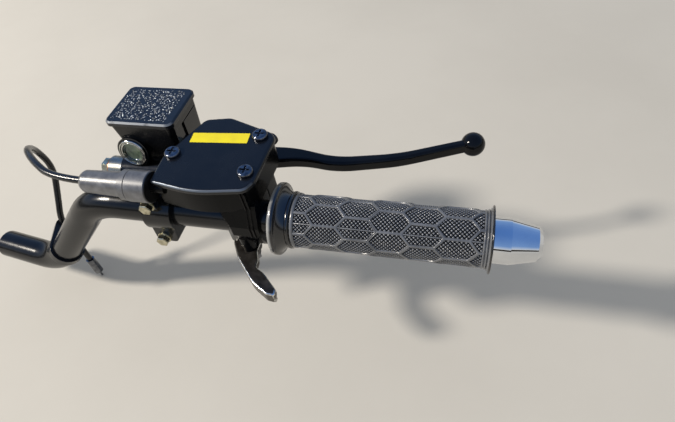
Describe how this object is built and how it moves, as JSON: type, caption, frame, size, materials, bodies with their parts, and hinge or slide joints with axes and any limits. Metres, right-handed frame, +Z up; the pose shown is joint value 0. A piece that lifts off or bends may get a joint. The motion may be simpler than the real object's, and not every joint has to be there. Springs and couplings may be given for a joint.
{
  "type": "quad bike handlebar end with throttle and brake controls",
  "caption": "Right end of a quad bike handlebar with grip, thumb throttle housing, brake lever and front brake master cylinder.",
  "frame": {"origin": "centre of the tube's inboard end, on the tube's axis", "axes": "+X outboard along the grip, +Y forwards, +Z up"},
  "size_m": [0.4213, 0.1299, 0.165],
  "materials": {
    "bar_paint": "gloss black powder coat",
    "grip_rubber": "moulded, matt, worn lighter on the ridges",
    "chrome_plate": "bright, lightly worn",
    "screw_steel": "zinc plated",
    "housing_plastic": "moulded, fine grain, scuffed",
    "lid_paint": "black paint worn at the edges",
    "screw_black": "black",
    "thumb_metal": "dark paint worn to metal on the edges",
    "boot_rubber": "weathered grey",
    "cable_sheath": "satin black",
    "cylinder_cast": "cast, satin black",
    "tank_lid_black": "moulded, satin",
    "ring_metal": "bright",
    "sight_window": "clear over greenish fluid",
    "bolt_zinc": "yellow zinc plated",
    "banjo_zinc": "zinc plated, dulled",
    "washer_copper": "copper",
    "lever_paint": "gloss black, scuffed at the ball",
    "piston_alloy": "turned"
  },
  "bodies": {
    "bar": {"handlebar_tube": "bar_paint", "grip": "grip_rubber", "bar_end_weight": "chrome_plate", "bar_end_screw": "screw_steel", "throttle_housing": "housing_plastic", "throttle_lid": "lid_paint", "throttle_lid_screws": "screw_steel", "limiter_screw": "screw_black", "thumb_lever_bolt": "screw_steel", "throttle_boot": "boot_rubber", "throttle_cable": "cable_sheath", "cable_ferrule": "screw_steel", "cable_tie": "screw_black", "master_cylinder": "cylinder_cast", "clamp_cap": "cylinder_cast", "clamp_bolts": "bolt_zinc", "tank_lid": "tank_lid_black", "sight_glass_ring": "ring_metal", "sight_glass": "sight_window", "banjo_fitting": "banjo_zinc", "banjo_washers": "washer_copper", "banjo_bolt": "bolt_zinc", "brake_lever_bolt": "bolt_zinc", "brake_lever_nut": "bolt_zinc"},
    "brake_lever": {"brake_lever": "lever_paint"},
    "brake_piston": {"brake_piston": "piston_alloy"},
    "thumb_lever": {"thumb_lever": "thumb_metal"}
  },
  "joints": [
    {"name": "brake_lever_pull", "type": "hinge", "parent": "bar", "child": "brake_lever", "pos_m": [0.20344, 0.04193, 0.08], "axis": [0, 0, -1], "range_deg": [0, 15], "stiffness_Nm_per_rad": 2, "springref_deg": -8.59},
    {"name": "brake_piston_push", "type": "slide", "parent": "bar", "child": "brake_piston", "axis": [-1, 0, 0], "range_m": [0, 0.006]},
    {"name": "thumb_lever_push", "type": "hinge", "parent": "bar", "child": "thumb_lever", "pos_m": [0.23984, -0.01361, 0.05455], "axis": [0, -0.0698, 0.9976], "range_deg": [0, 40], "stiffness_Nm_per_rad": 0.3, "springref_deg": -22.92}
  ],
  "couplings": [
    {"joint": "brake_piston_push", "follows": "brake_lever_pull", "m_per_rad": 0.021}
  ]
}
